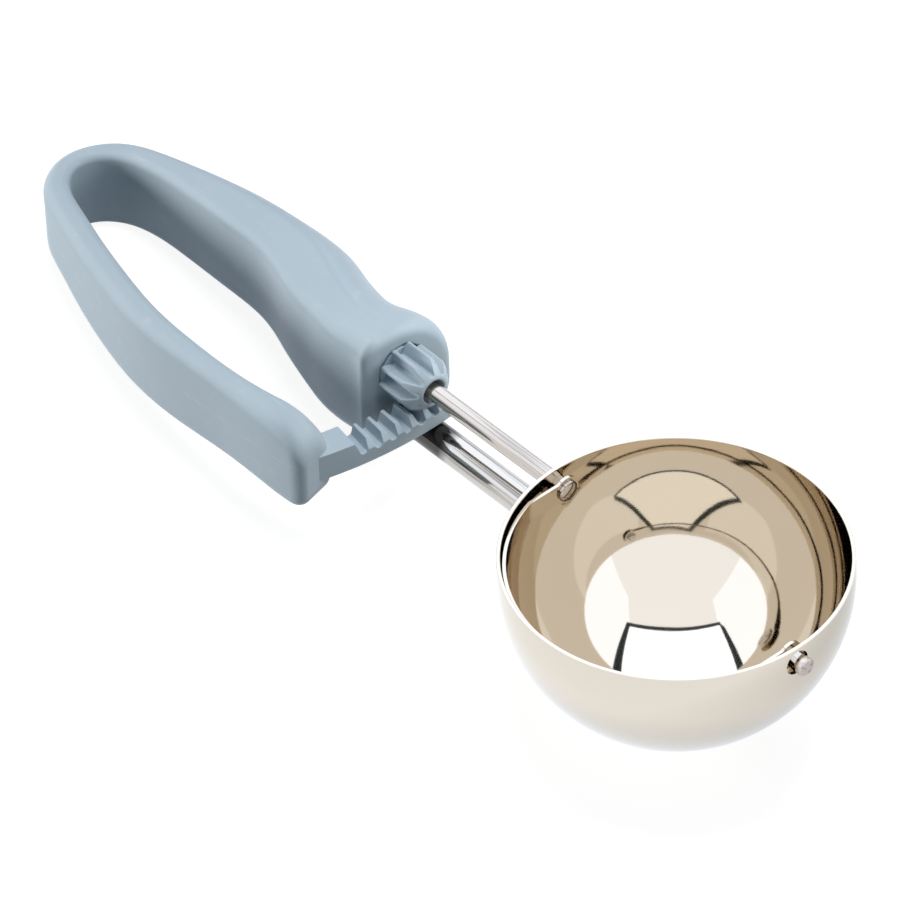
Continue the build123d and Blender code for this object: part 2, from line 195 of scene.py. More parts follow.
# Outside the ridge the top falls by a slope, and by a hollow that is as wide as it is far out.
RIDGE_SLOPE, RIDGE_SOFT, HOLLOW, HOLLOW_OUT = 0.05, 0.5, 0.20, 0.8
FACE_SPLIT = -8.35  # the height on the head's face between the recess and the socket


def spline(knots, values, start, end, at):
    """Cubic spline with set end slopes: the slopes m solve h1 m0 + 2 (h0 + h1) m1 + h0 m2 =
    3 (h1 d0 + h0 d1), and each span is its Hermite cubic. Returns values and slopes."""
    h, d = np.diff(knots), np.diff(values, axis=0) / np.diff(knots)[:, None]
    n = len(knots)
    matrix, right = np.eye(n), np.zeros_like(values)
    right[0], right[-1] = start, end
    k = np.arange(1, n - 1)
    matrix[k, k - 1], matrix[k, k], matrix[k, k + 1] = h[1:], 2 * (h[:-1] + h[1:]), h[:-1]
    right[1:-1] = 3 * (h[1:, None] * d[:-1] + h[:-1, None] * d[1:])
    m = np.linalg.solve(matrix, right)
    i = np.clip(np.searchsorted(knots, at, side="right") - 1, 0, n - 2)
    t, w = ((at - knots[i]) / h[i])[:, None], h[i][:, None]
    a, b, p, q = values[i], values[i + 1], m[i] * w, m[i + 1] * w
    value = (2 * t**3 - 3 * t**2 + 1) * a + (t**3 - 2 * t**2 + t) * p
    value += (3 * t**2 - 2 * t**3) * b + (t**3 - t**2) * q
    slope = ((6 * t**2 - 6 * t) * (a - b) + (3 * t**2 - 4 * t + 1) * p + (3 * t**2 - 2 * t) * q) / w
    return value, slope


def rounded_section(width, height, corners, around):
    """Points of a rectangle with four corner radii, counted from the middle of its +width
    side: straight sides and quarter arcs, with the same counts in each, so that sections
    match. The counts are those of the four sides, then of the four corners."""
    sides, arcs = ([np.linspace(0, 1, n, endpoint=False) for n in counts] for counts in around)
    a1, a2, a3, a4 = (t * math.pi / 2 for t in arcs)
    t1, t2, t3, t4 = sides
    w, h = (np.asarray(x, float)[:, None] for x in (width / 2, height / 2))
    c1, c2, c3, c4 = (np.asarray(c, float)[:, None] for c in corners)
    out = [
        (w + 0 * t1, (h - c1) * t1),
        (w - c1 + c1 * np.cos(a1), h - c1 + c1 * np.sin(a1)),
        (w - c1 + (c1 + c2 - 2 * w) * t2, h + 0 * t2),
        (c2 - w - c2 * np.sin(a2), h - c2 + c2 * np.cos(a2)),
        (-w + 0 * t3, h - c2 + (c2 + c3 - 2 * h) * t3),
        (c3 - w - c3 * np.cos(a3), c3 - h - c3 * np.sin(a3)),
        (c3 - w + (2 * w - c3 - c4) * t4, -h + 0 * t4),
        (w - c4 + c4 * np.sin(a4), c4 - h - c4 * np.cos(a4)),
        (w + 0 * t1, (c4 - h) * (1 - t1)),
    ]
    return np.concatenate([x for x, _ in out], 1), np.concatenate([y for _, y in out], 1)


def turned_in(at, start, length, depth):
    """How far a quarter ellipse has turned in at a distance: depth (1 - sqrt(1 - u^2)), where
    u runs from 0 at the start to 1 after the length."""
    u = np.clip((at - start) / length, 0, 1)
    return depth * (1 - np.sqrt(1 - u * u))


def band_surface():
    """A rounded rectangle carried along the band's spline, as a grid. Quarter ellipses turn the
    head's face in all round, and the paddle's end in at its four sides. Outside the grip's
    ridge line, at a distance d, the top falls by 0.05 times the softened d plus a shallow
    hollow of depth 0.2."""
    path = np.stack([HEAD_FACE - BAND[:, 0] * REACH, BAND[:, 1]], -1)
    knots = np.concatenate([[0], np.cumsum(np.linalg.norm(np.diff(path, axis=0), axis=1))])
    length, end_far = knots[-1], PADDLE_END[2][0]
    at = np.concatenate([
        HEAD_ROUND * (1 - np.cos(np.linspace(0, math.pi / 2, 10))),
        np.linspace(HEAD_ROUND, length - end_far, 430)[1:-1],
        length - end_far * (1 - np.sin(np.linspace(0, math.pi / 2, 49))),
    ])
    line, slope = spline(knots, path, (-1, 0), (math.cos(PADDLE_HEADING), math.sin(PADDLE_HEADING)), at)
    section, _ = spline(knots, BAND[:, 2:], np.zeros(7), np.zeros(7), at)
    slope /= np.linalg.norm(slope, axis=1)[:, None]
    out_in, in_in, top_in, low_in = (
        turned_in(-at, -HEAD_ROUND, HEAD_ROUND, head_deep) + turned_in(at, length - far, far, deep)
        for head_deep, (far, deep) in zip(HEAD_DEPTHS, PADDLE_END)
    )
    width = section[:, 0] - out_in - in_in
    top, low = ARM * section[:, 1] - top_in, ARM * section[:, 2] + low_in
    shrink = np.stack([in_in, out_in, out_in, in_in])
    corners = np.maximum(section[:, 3:].T * section[:, 0] - shrink, 0.5)
    a, z = rounded_section(width, top - low, corners, ((8, 30, 8, 8), (10, 14, 10, 10)))
    across = a + ((out_in - in_in) / 2)[:, None]
    ridge, strength = (np.interp(at, RIDGE[:, 0], RIDGE[:, k])[:, None] for k in (1, 2))
    for _ in range(24):
        ridge[1:-1] = (ridge[:-2] + 2 * ridge[1:-1] + ridge[2:]) / 4
    beyond = (ridge - across) / RIDGE_SOFT
    hollow = HOLLOW * np.exp(-((beyond * RIDGE_SOFT - HOLLOW_OUT) / HOLLOW_OUT) ** 2)
    fall = RIDGE_SLOPE * RIDGE_SOFT * np.logaddexp(0, beyond) + hollow
    share = np.clip((z - (0.5 * (top - low) - corners[1])[:, None]) / corners[1][:, None], 0, 1)
    z = z - strength * fall * share**2
    side = np.stack([-slope[:, 1], slope[:, 0]], -1)
    middle = (top + low) / 2
    spread = line[:, None] + across[..., None] * side[:, None]
    return np.concatenate([spread, (z + middle[:, None])[..., None]], -1)


def split_loop(edge, height):
    """A loop cut in two by a level line: its lower and upper parts, closed along that line."""
    z, before = edge[:, 2], np.roll(edge[:, 2], 1)
    falls = np.flatnonzero((z <= height) & (before > height))[0]
    rises = np.flatnonzero((z > height) & (before <= height))[0]
    i, j = min(falls, rises), max(falls, rises)
    cut = np.linspace(0, 1, 26)[1:-1, None]
    bridge = edge[j] * (1 - cut) + edge[i] * cut
    first = np.concatenate([edge[i : j + 1], bridge])
    second = np.concatenate([edge[j:], edge[: i + 1], bridge[::-1]])
    return (first, second) if z[(i + 1) % len(z)] <= height else (second, first)


def bored(loop, centre_y, centre_z, steps):
    """Straight rows from a loop to a round hole, then the hole's own steps of (x, radius)."""
    turn = np.arctan2(loop[:, 2] - centre_z, loop[:, 1] - centre_y)
    rings = [
        np.stack([np.full(len(loop), x), centre_y + r * np.cos(turn), centre_z + r * np.sin(turn)], -1)
        for x, r in steps
    ]
    return np.concatenate([ring_between(loop, rings[0], 7), np.array(rings[1:])])


def loop_handle():
    """The one moulding of head, fixed grip, bow and lever arm: the band's surface, with the
    head's face closed round the hub's recess and the tube's socket, and the paddle's end closed."""
    grid = band_surface()
    lower, upper = split_loop(grid[0], FACE_SPLIT)
    recess = [
        (HEAD_FACE, HUB_RECESS_R + 0.25), (HEAD_FACE - 0.08, HUB_RECESS_R + 0.1),
        (HEAD_FACE - 0.25, HUB_RECESS_R), (HUB_FLOOR, HUB_RECESS_R),
        (HUB_FLOOR, ROD_BORE_R), (ROD_BORE_END, ROD_BORE_R), (ROD_BORE_END, 0),
    ]
    socket = [
        (HEAD_FACE, SOCKET_R + 0.33), (HEAD_FACE - 0.1, SOCKET_R + 0.13), (HEAD_FACE - 0.35, SOCKET_R),
        (SOCKET_END, SOCKET_R), (SOCKET_END, 0),
    ]
    last = grid[-1]
    parts = [
        grid, bored(upper, 0, 0, recess), bored(lower, TUBE_ACROSS, -TUBE_DROP, socket),
        ring_between(last, np.broadcast_to(last.mean(0), last.shape), 6),
    ]
    return solid_piece("loop_handle", [(part, False, True, None) for part in parts], sharp=50)


# ---------------------------------------------------------------- pinion and rack

TEETH = 9
ROOT_R, PITCH_R, TIP_R = 3.857, 5.1566, 6.397
HUB_R, HUB_BACK, TEETH_BACK, TEETH_FRONT, NOSE = 5.4, -86.2, -84.9, -78.0, -74.4
PINION_BORE_R, MOUTH_R, MOUTH_DEPTH = 2.03, 2.85, 3.0
# A tooth's half width at distances from the pinion's centre.
TOOTH_HALVES = np.array([(ROOT_R, 0.9), (4.5, 0.86), (PITCH_R, 0.75), (5.8, 0.59), (TIP_R, 0.375)])
# Three points (x, radius) of the arc that domes the teeth's front ends.
DOME_ARC = np.array([(TEETH_FRONT, TIP_R + 0.02), (TEETH_FRONT + 2.088, 5.23), (NOSE, 3.45)])


def gear_outline(columns):
    """Turn and radius round the pinion: a root arc, a flank whose half width falls along a
    curve from 0.9 through 0.75 to 0.375, a tip, and back, evenly spaced along its length
    and softened a little at the corners."""
    x = np.linspace(ROOT_R, TIP_R, 24)
    half = np.interp(x, *TOOTH_HALVES.T)
    turn, radius = np.arctan2(half, x), np.hypot(x, half)
    root = np.linspace(math.pi / TEETH, turn[0], 8, endpoint=False)
    tip = np.linspace(turn[-1], -turn[-1], 8)[1:-1]
    one_turn = np.concatenate([-root, -turn, tip[::-1], turn[::-1], root[::-1]])
    low, high = np.full(root.size, ROOT_R), np.full(tip.size, radius[-1])
    one_radius = np.concatenate([low, radius, high, radius[::-1], low])
    k = np.arange(TEETH)[:, None]
    turns = (one_turn[None] + k * TAU / TEETH).ravel() - math.pi / 2
    radii = np.tile(one_radius, TEETH)
    px, py = radii * np.cos(turns), radii * np.sin(turns)
    px, py = np.append(px, px[0]), np.append(py, py[0])
    run = np.concatenate([[0], np.cumsum(np.hypot(np.diff(px), np.diff(py)))])
    at = np.linspace(0, run[-1], columns, endpoint=False)
    px, py = np.interp(at, run, px), np.interp(at, run, py)
    for _ in range(6):
        px, py = ((np.roll(v, 1) + 2 * v + np.roll(v, -1)) / 4 for v in (px, py))
    return np.arctan2(py, px), np.hypot(px, py)


def dome_radius(x):
    """The pinion's envelope: full radius to the end of the teeth, then the arc through three
    points, r = v + sqrt(R^2 - (x - u)^2), in to the nose."""
    (ax, ay), (bx, by), (cx, cy) = DOME_ARC
    a, b, c = (DOME_ARC**2).sum(1)
    d = 2 * (ax * (by - cy) + bx * (cy - ay) + cx * (ay - by))
    u = (a * (by - cy) + b * (cy - ay) + c * (ay - by)) / d
    v = (a * (cx - bx) + b * (ax - cx) + c * (bx - ax)) / d
    arc = v + np.sqrt(np.maximum(math.hypot(ax - u, ay - v) ** 2 - (x - u) ** 2, 0))
    return np.where(x <= TEETH_FRONT, ay, arc)


def drive_pinion():
    """Nine long teeth that run out on a domed nose: each row is the lesser of the tooth
    outline and the envelope's radius at that x, and the hub, mouth and bore are circles."""
    turn, outline = gear_outline(648)
    back = [
        (HUB_BACK, PINION_BORE_R), (HUB_BACK, HUB_R - 0.15), (HUB_BACK + 0.06, HUB_R - 0.04),
        (HUB_BACK + 0.15, HUB_R), (TEETH_BACK - 0.15, HUB_R),
        (TEETH_BACK - 0.04, HUB_R - 0.04), (TEETH_BACK, HUB_R - 0.15),
    ]
    mouth = [
        (NOSE - 0.03, 3.40), (NOSE, 3.30), (NOSE, 2.99), (NOSE - 0.05, 2.90), (NOSE - 0.14, MOUTH_R),
        (NOSE - MOUTH_DEPTH, MOUTH_R), (NOSE - MOUTH_DEPTH, PINION_BORE_R),
    ]
    stations = np.concatenate([
        [TEETH_BACK, TEETH_BACK + 0.12],
        np.linspace(TEETH_BACK + 0.3, TEETH_FRONT - 0.2, 14),
        np.linspace(TEETH_FRONT, NOSE - 0.12, 30),
    ])
    teeth = np.minimum(outline, dome_radius(stations)[:, None])
    teeth[0] -= 0.1
    circles = [np.array(rows)[:, 1:] + 0 * turn for rows in (back, mouth)]
    r = np.concatenate([circles[0], teeth, circles[1]])
    x = np.concatenate([np.array(back)[:, 0], stations, np.array(mouth)[:, 0]])[:, None]
    points = np.stack([x + 0 * r, r * np.cos(turn), r * np.sin(turn)], -1)
    return solid_piece("drive_pinion", [(points, True, True, None)], sharp=48)


# Distances from the hinge, heights, and directions in degrees as seen from the hinge.
RACK_BACK, RACK_FRONT, RIDGE_FRONT = 94.689, 101.589, 99.889
RACK_TIPS, RACK_ROOTS, RACK_BOTTOM, BEVEL_LOW = -4.157, -6.707, -9.557, -6.007
GAP_STEP, GAP_MIDDLE, RACK_END, RACK_ROOT = 2.12231, 1.769, 4.3157, -15.8229
BLOCK_RISE, GAP_HALF, FLANK_TURN = 1.2, 1.15, math.radians(11)


def toothed_rack():
    """A bar curved about the hinge with straight gaps that point at it: each line across the
    bar stands at a gap's direction plus a sideways step, and its section is cut off at the
    height the gap has there. The gaps have round bottoms, and the block by the paddle stands
    higher and has no bevel in front."""
    slope, depth = math.tan(FLANK_TURN), RACK_TIPS - RACK_ROOTS
    gaps = [GAP_MIDDLE + k * GAP_STEP for k in range(-5, 2)]
    flank = [
        (GAP_HALF + slope, 0.0), (GAP_HALF + slope - slope * (depth - 0.7), 0.7 - depth),
        (0.72, 0.25 - depth), (0.36, 0.05 - depth), (0.0, -depth),
    ]
    block_side = [(2.3, BLOCK_RISE), (1.9, 0.55), (1.45, -0.5)]
    lines = [(turn, 0.0, RACK_TIPS + BLOCK_RISE) for turn in np.linspace(RACK_ROOT, gaps[0] - 1.6, 4)]
    block_lines = len(lines) + len(block_side)
    for gap in gaps:
        left = block_side + flank[1:] if gap == gaps[0] else flank
        across = [(-step, height) for step, height in left] + flank[-2::-1]
        lines += [(gap, step, RACK_TIPS + height) for step, height in across]
    lines.append((RACK_END, 0.0, RACK_TIPS))
    turn, step, height = np.array(lines).T[..., None]
    turn = np.radians(turn)
    share = np.clip((RACK_TIPS - height) / (RACK_TIPS - BEVEL_LOW), 0, 1)
    block = (np.arange(len(lines)) < block_lines)[:, None]
    bevelled = np.where(block, RACK_FRONT, RIDGE_FRONT + share * (RACK_FRONT - RIDGE_FRONT))
    front = np.where(block, height, np.minimum(height, BEVEL_LOW))
    flat = 0 * share
    rear, fore = flat + RACK_BACK, flat + RACK_FRONT
    radius = np.concatenate([rear, rear, bevelled, fore, fore], 1)
    z = np.concatenate([flat + RACK_BOTTOM, height, height, front, flat + RACK_BOTTOM], 1)
    x = HINGE[0] + radius * np.cos(turn) - step * np.sin(turn)
    y = HINGE[1] + radius * np.sin(turn) + step * np.cos(turn)
    grid = np.stack([x, y, z], -1)
    ends = [np.stack([end, np.broadcast_to(end.mean(0), end.shape)]) for end in (grid[0], grid[-1])]
    sheets = [(part, False, True, None) for part in (grid, *ends)]
    return solid_piece("toothed_rack", sheets, sharp=30, bevel=0.2)


# ---------------------------------------------------------------- bowl


# The notch beside the hole at the front: its middle across and out, its radius, and the place
# that the rays of the hole's rows start from.
NOTCH_Y, NOTCH_Z, NOTCH_R = -0.9, 0.8, 2.8
NOTCH_RAYS = (-0.5, 0.45)
BLOCK_TOP, BLOCK_LOW = 3.95, 3.9  # how far a hole's block of cells reaches over and under the line


def ray_to_circle(turn, from_y, from_z, centre_y, centre_z, radius):
    """How far a ray from a point inside a circle runs to it."""
    dy, dz = np.cos(turn), np.sin(turn)
    oy, oz = from_y - centre_y, from_z - centre_z
    b = oy * dy + oz * dz
    return -b + np.sqrt(np.maximum(b * b - (oy * oy + oz * oz - radius * radius), 0))


def hole_rows(radius, edge, sign):
    """Rows on the sphere from a block's edge to the hole on the spindle's line."""
    cy, cz = NOTCH_RAYS if sign > 0 else (0.0, 0.0)
    turn = np.arctan2(edge[:, 2] - cz, edge[:, 1] - cy)
    reach = ray_to_circle(turn, cy, cz, 0, 0, ROD_BORE_R)
    if sign > 0:
        reach = np.maximum(reach, ray_to_circle(turn, cy, cz, NOTCH_Y, NOTCH_Z, NOTCH_R))
    y, z = cy + reach * np.cos(turn), cz + reach * np.sin(turn)
    hole = np.stack([sign * np.sqrt(radius**2 - y**2 - z**2), y, z], -1)
    rows = ring_between(edge, hole, 9)
    rows *= radius / np.linalg.norm(rows, axis=2)[..., None]
    rows[0], rows[-1] = edge, hole
    return rows


def steel_bowl():
    """A thin spherical cup. Each side is a grid of turn about the mouth's axis and depth,
    x = q cos a, y = q sin a, q = sqrt(R^2 - z^2), less a block of cells at each end of the
    spindle's line; rows from the block's edge to the hole fill it, and all of it lies on
    the sphere. The rim is a rounded edge, q and z as powers of cos p and sin p."""
    columns, block, level = 240, 4, RIM - RIM_ROUND
    turns = np.arange(columns) * TAU / columns

    def turned(q, z):
        height = np.broadcast_to(z[:, None], (z.size, columns))
        return np.stack([q[:, None] * np.cos(turns), q[:, None] * np.sin(turns), height], -1)

    sheets, holes = [], {}
    for radius in (BOWL_OUTSIDE, BOWL_INSIDE):
        below = np.radians(np.linspace(math.degrees(math.asin(BLOCK_LOW / radius)), 90, 60))
        z = np.concatenate([[level], np.linspace(BLOCK_TOP, -BLOCK_LOW, 9), -radius * np.sin(below)[1:]])
        q = np.sqrt(np.maximum(radius**2 - z**2, 0))
        q[-1] = 0
        grid = turned(q, z)
        cells = np.ones((z.size - 1, columns), bool)
        sheets.append((grid, False, True, cells))
        for middle, sign in ((0, 1), (columns // 2, -1)):
            j = np.arange(middle - block, middle + block + 1) % columns
            cells[1:9, j[:-1]] = False
            edge = np.concatenate([grid[1, j[:-1]], grid[1:9, j[-1]], grid[9, j[:0:-1]], grid[9:1:-1, j[0]]])
            rows = hole_rows(radius, edge, sign)
            sheets.append((rows, False, True, None))
            holes[radius, sign] = rows[-1]
    for sign in (1, -1):
        sheets.append((np.stack([holes[BOWL_OUTSIDE, sign], holes[BOWL_INSIDE, sign]]), False, True, None))
    p = np.linspace(0, math.pi, 13)
    outer, inner = (math.sqrt(radius**2 - level**2) for radius in (BOWL_OUTSIDE, BOWL_INSIDE))
    q = (outer + inner) / 2 + (outer - inner) / 2 * np.sign(np.cos(p)) * np.abs(np.cos(p)) ** 0.7
    sheets.append((turned(q, level + RIM_ROUND * np.sin(p) ** 0.7), False, True, None))
    return solid_piece("steel_bowl", sheets, sharp=60)


# ---------------------------------------------------------------- rods, tube, braze and blade


BLADE_OUT, BLADE_THICK, TAB_FACE = 35.1, 0.7, 33.6
RIVET_FACE, RIVET_EDGE, RIVET_RISE = 32.9, 32.5, 0.6  # the rivet heads' faces, edges and domes
RIVET_RIM = [(RIVET_FACE, 2.35), (RIVET_FACE - 0.06, 2.42), (RIVET_FACE - 0.18, RIVET_R)]


def rivet_dome(steps=10):
    """A rivet head's low dome, x = edge - rise cos t, r = R sin^0.9 t, from its middle out."""
    return [
        (RIVET_EDGE - RIVET_RISE * math.cos(t), RIVET_R * math.sin(t) ** 0.9)
        for t in np.linspace(0, 1.45, steps)
    ]


def long_spindle():
    """A rod turned from its profile, with a low rivet head against the blade's rear tab."""
    rod = [(-100.12, 0), (-100.12, 1.7), (-99.8, ROD_R)]
    rod += [(x, ROD_R) for x in np.linspace(-95, -34, 12)] + [(-RIVET_FACE, ROD_R)]
    rivet = RIVET_RIM + [(RIVET_EDGE, RIVET_R)] + rivet_dome()[::-1]
    profile = rod + [(-x, r) for x, r in rivet]
    return solid_piece("long_spindle", [(turned_profile(profile, 96), False, True, None)], sharp=35)


def front_pin():
    """A short pin turned from its profile: a low rivet head inside, a chamfered end outside."""
    pin = [(RIVET_FACE, ROD_R), (36, ROD_R), (38.1, ROD_R)]
    pin += [(38.25, 1.95), (38.36, 1.82), (38.4, 1.65), (38.4, 0)]
    profile = rivet_dome() + RIVET_RIM[::-1] + pin
    return solid_piece("front_pin", [(turned_profile(profile, 96), False, True, None)], sharp=35)


def coped(radius, columns):
    """The loop where a tube of that radius meets the bowl: x = -sqrt(R^2 - y^2 - z^2)."""
    a = np.linspace(0, TAU, columns, endpoint=False)
    y, z = TUBE_ACROSS + radius * np.sin(a), -TUBE_DROP + radius * np.cos(a)
    return np.stack([-np.sqrt(BOWL_OUTSIDE**2 - y**2 - z**2), y, z], -1)


def moved_along(loop, x):
    """A loop whose points all stand at one place along the spindle's line."""
    flat = loop.copy()
    flat[:, 0] = x
    return flat


def support_tube():
    """A straight tube, its outer and inner walls as rows along it, its end coped to the bowl."""
    outer, inner = (coped(radius, 128) for radius in (TUBE_R, TUBE_BORE_R))
    xs = np.linspace(-97.85, -42.0, 16)
    rows = [moved_along(outer, x) for x in xs] + [outer, inner] + [moved_along(inner, x) for x in xs[::-1]]
    return solid_piece("support_tube", [(np.array(rows), True, True, None)], sharp=35)


def braze_collar():
    """A hollow-sided collar: its radius rises from the tube's to the foot's as
    r = 3.56 + 1.44 s^2.2, where s runs from its start to the bowl."""
    inner = coped(TUBE_R, 128)
    start = -math.sqrt(BOWL_OUTSIDE**2 - TUBE_DROP**2) - 2.5
    rows = []
    for s in np.linspace(0, 1, 14):
        foot = coped(TUBE_R + 0.06 + 1.44 * s**2.2, 128)
        rows.append(moved_along(foot, start * (1 - s) + foot[:, 0] * s))
    rows += [inner, moved_along(inner, start)]
    return solid_piece("braze_collar", [(np.array(rows), True, True, None)], sharp=50)


def blade_side(radius, face):
    """One side of the blade, bent on a sphere of that radius, with tabs that stand at a face."""
    v = np.linspace(-1, 1, 17)
    neck = -math.sqrt(TAB_R**2 - BLADE_HALF**2)
    start = math.sqrt(radius**2 - face**2)
    y = np.concatenate([
        TAB_R * np.cos(np.linspace(0, math.pi / 2, 12)),
        np.linspace(0, neck, 5)[1:],
        np.linspace(neck, -start, 9)[1:],
    ])
    half = np.where(y > neck - 1e-4, np.sqrt(np.maximum(TAB_R**2 - y**2, 0)), BLADE_HALF)
    z = half[:, None] * v
    crease = -np.sqrt(start**2 - z**2)
    share = np.clip((y[:, None] - neck) / (-start - neck), 0, 1)
    bent = np.where(share > 0, neck + share * (crease - neck), y[:, None])
    tab = np.stack([np.full_like(z, -face), bent, z], -1)
    z = BLADE_HALF * v[None]
    q = np.sqrt(radius**2 - z**2)
    first = np.arccos(face / q)
    p = first + (math.pi - 2 * first) * np.linspace(0, 1, 121)[1:-1, None]
    arc = np.stack([-q * np.cos(p), -q * np.sin(p), np.broadcast_to(z, p.shape)], -1)
    return np.concatenate([tab, arc, tab[::-1] * np.array([-1, 1, 1])])


def scraper_blade():
    """A thin strip bent just inside the bowl with a flat round tab at each end. Along the
    arc a point is x = -sqrt(R^2 - v^2) cos p, y = -sqrt(R^2 - v^2) sin p, z = v; on a tab x
    stays and the half width is that of the tab's circle."""
    outer = blade_side(BLADE_OUT, TAB_FACE)
    inner = blade_side(BLADE_OUT - BLADE_THICK, TAB_FACE - BLADE_THICK)
    edges = [np.stack([outer[:, k], inner[:, k]]) for k in (0, -1)]
    sheets = [(part, False, False, None) for part in (outer, inner, *edges)]
    return solid_piece("scraper_blade", sheets, sharp=30, bevel=0.12)


# ---------------------------------------------------------------- shader maths


class Wire:
    """One output of a material's nodes. Arithmetic on it adds Math nodes."""

    def __init__(self, finish, socket):
        self.finish, self.socket = finish, socket

    def math(self, operation, *others):
        return self.finish.node("ShaderNodeMath", {"operation": operation}, [self, *others])

    def __add__(self, other):
        return self.math("ADD", other)

    __radd__ = __add__

    def __sub__(self, other):
        return self.math("SUBTRACT", other)

    def __rsub__(self, other):
        return self.finish.node("ShaderNodeMath", {"operation": "SUBTRACT"}, [other, self])

    def __mul__(self, other):
        return self.math("MULTIPLY", other)

    __rmul__ = __mul__

    def clamped(self):
        return self.finish.node("ShaderNodeClamp", {}, [self, 0.0, 1.0])


class Finish:
    """A material and the way its nodes are added."""

    def __init__(self, name):
        self.material = bpy.data.materials.new(name)
        self.material.use_nodes = True
        self.tree = self.material.node_tree
        self.tree.nodes.clear()

    def node(self, kind, settings, inputs, output=0):
        """Adds a node: settings first, then the values or links of its sockets, by place or name."""
        node = self.tree.nodes.new(kind)
        for name, value in settings.items():
            if name == "stops":
                ramp = node.color_ramp
                while len(ramp.elements) < len(value):
                    ramp.elements.new(0.5)
                for element, (place, colour) in zip(ramp.elements, value):
                    element.position, element.color = place, colour
            else:
                setattr(node, name, value)
        named = inputs.items() if isinstance(inputs, dict) else enumerate(inputs)
        for name, value in named:
            socket = node.inputs[name]
            if isinstance(value, Wire):
                self.tree.links.new(value.socket, socket)
            elif value is not None:
                socket.default_value = value
        return Wire(self, node.outputs[output]) if len(node.outputs) else None

    def place(self, scale=(1, 1, 1)):
        """Object coordinates on the tool's own axes, from the bowl's centre, and scaled."""
        spot = self.node("ShaderNodeTexCoord", {}, {}, "Object")
        return self.node("ShaderNodeMapping", {"vector_type": "TEXTURE"}, [spot, TOOL_PLACE, TOOL_TURN, scale])

    def noise(self, vector, scale, detail, rough):
        wires = {"Vector": vector, "Scale": scale, "Detail": detail, "Roughness": rough}
        return self.node("ShaderNodeTexNoise", {}, wires, "Fac")

    def ramp(self, value, stops):
        return self.node("ShaderNodeValToRGB", {"stops": stops}, [value])

    def mask(self, value, low, high):
        """Black up to one value, white from another."""
        return self.ramp(value, [(low, (0, 0, 0, 1)), (high, (1, 1, 1, 1))])

    def blend(self, share, a, b):
        return self.node("ShaderNodeMix", {"data_type": "RGBA"}, {0: share, 6: a, 7: b}, 2)

    def bump(self, height, strength, distance, normal=None):
        wires = {"Height": height, "Strength": strength, "Distance": distance}
        if normal is not None:
            wires["Normal"] = normal
        return self.node("ShaderNodeBump", {}, wires)

    def surface(self, **sockets):
        wires = {name.replace("_", " "): value for name, value in sockets.items()}
        shader = self.node("ShaderNodeBsdfPrincipled", {}, wires)
        self.node("ShaderNodeOutputMaterial", {}, [shader])
        return self.material


def srgb(red, green, blue):
    """A colour given as 0 to 255 screen values, as the shader's linear one."""
    shares = np.array([red, green, blue]) / 255
    linear = np.where(shares <= 0.04045, shares / 12.92, ((shares + 0.055) / 1.055) ** 2.4)
    return (*linear.tolist(), 1.0)


TOOL_TURN = Matrix(AXES.T.tolist()).to_euler()
TOOL_PLACE = tuple(BOWL_CENTRE * 0.001)
PLASTIC_DARK, PLASTIC_LIGHT, PLASTIC_RUBBED = srgb(156, 172, 183), srgb(166, 181, 191), srgb(214, 224, 230)
# Colours painted into polished steel: dark streaks as a painted reflection, and painted shade for the tube's
# end under the rack.
PAINTED_STREAK_REFLECTION, PAINTED_SHADE = (0.10, 0.08, 0.06, 1), (0.08, 0.07, 0.06, 1)
SEAM_OUT = -1.9  # the mould line's place out of the bowl's mouth, in mm


def handle_plastic():
    """Grey-blue moulded plastic: faint clouding, a fine matt grain, a few rubbed spots and
    scratches, and the faint line the mould leaves along the middle of the band."""
    f = Finish("handle_plastic")
    spot = f.place()
    cloud = f.noise(spot, 60.0, 3.0, 0.55)
    grain = f.noise(spot, 2600.0, 2.0, 0.6)
    rub = f.mask(f.noise(spot, 240.0, 4.0, 0.6), 0.60, 0.72)
    scratch = f.mask(f.noise(f.place((14, 1, 1)), 1500.0, 1.0, 0.5), 0.72, 0.76)
    height = f.node("ShaderNodeSeparateXYZ", {}, [spot], "Z")
    off_seam = f.node("ShaderNodeMath", {"operation": "ABSOLUTE"}, [height * 1000.0 - SEAM_OUT + cloud * 0.5])
    seam = (1.0 - off_seam * 6.0).clamped() * f.mask(f.noise(spot, 90.0, 2.0, 0.5), 0.50, 0.62)
    tone = f.blend(cloud, PLASTIC_DARK, PLASTIC_LIGHT)
    tone = f.blend((rub * 0.10 + scratch * 0.16 + seam * 0.30).clamped(), tone, PLASTIC_RUBBED)
    rough = 0.38 + cloud * 0.12 + grain * 0.06
    bump = f.bump(grain + seam * 0.8, 0.10, 0.0002)
    return f.surface(Base_Color=tone, Roughness=rough, Normal=bump, Specular_IOR_Level=0.42)


